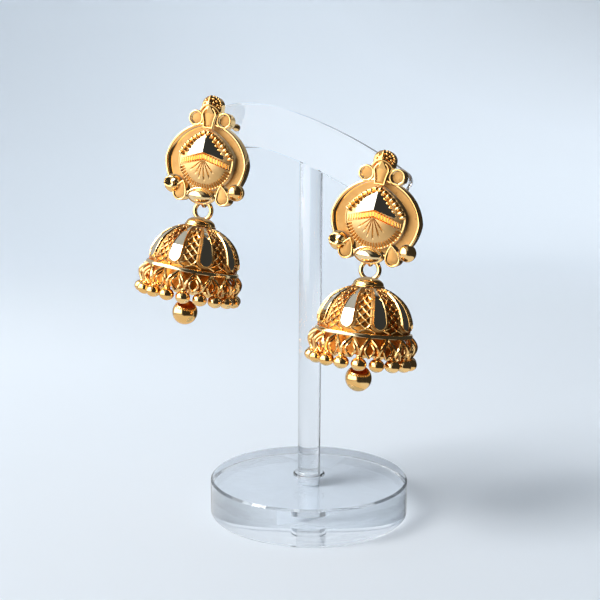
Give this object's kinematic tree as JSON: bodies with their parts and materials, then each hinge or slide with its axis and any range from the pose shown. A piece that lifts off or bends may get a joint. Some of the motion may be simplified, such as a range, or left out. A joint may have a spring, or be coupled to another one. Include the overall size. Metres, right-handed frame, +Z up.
{
  "type": "pair of jhumka earrings on a display stand",
  "caption": "Jhumka earrings with a scrolled stud and a hanging bell drop fringed with beads, pinned to the arched bar of a clear T-shaped display stand.",
  "frame": {"origin": "middle of the round base's underside", "axes": "+Z up the post, +X along the bar to its lower end, -Y the way the earrings face"},
  "size_m": [0.0568, 0.04, 0.0828],
  "materials": {
    "polished_gold": "mirror-polished yellow gold plate",
    "satin_gold": "satin yellow gold plate with polished edges",
    "clear_acrylic": "clear polished acrylic"
  },
  "bodies": {
    "stand": {"stand_base": "clear_acrylic", "post_collar": "clear_acrylic", "t_bar": "clear_acrylic", "left_stud_tray": "satin_gold", "left_crest": "polished_gold", "left_medallion": "polished_gold", "left_cabochon": "polished_gold", "left_corner_cup": "polished_gold", "left_corner_ball": "polished_gold", "left_ear_post": "polished_gold", "right_stud_tray": "satin_gold", "right_crest": "polished_gold", "right_medallion": "polished_gold", "right_cabochon": "polished_gold", "right_corner_cup": "polished_gold", "right_corner_ball": "polished_gold", "right_ear_post": "polished_gold"},
    "left_drop": {"left_bell_cap": "polished_gold", "left_bell": "polished_gold", "left_bead_fringe": "polished_gold", "left_centre_ball": "polished_gold"},
    "right_drop": {"right_bell_cap": "polished_gold", "right_bell": "polished_gold", "right_bead_fringe": "polished_gold", "right_centre_ball": "polished_gold"}
  },
  "joints": [
    {"name": "left_drop_swing", "type": "hinge", "parent": "stand", "child": "left_drop", "pos_m": [-0.02009, -0.00608, 0.06253], "axis": [-0.9866, 0, 0.1633], "range_deg": [-30, 40]},
    {"name": "right_drop_swing", "type": "hinge", "parent": "stand", "child": "right_drop", "pos_m": [0.01366, -0.006, 0.05184], "axis": [-0.9973, 0, 0.0732], "range_deg": [-8, 40]}
  ]
}
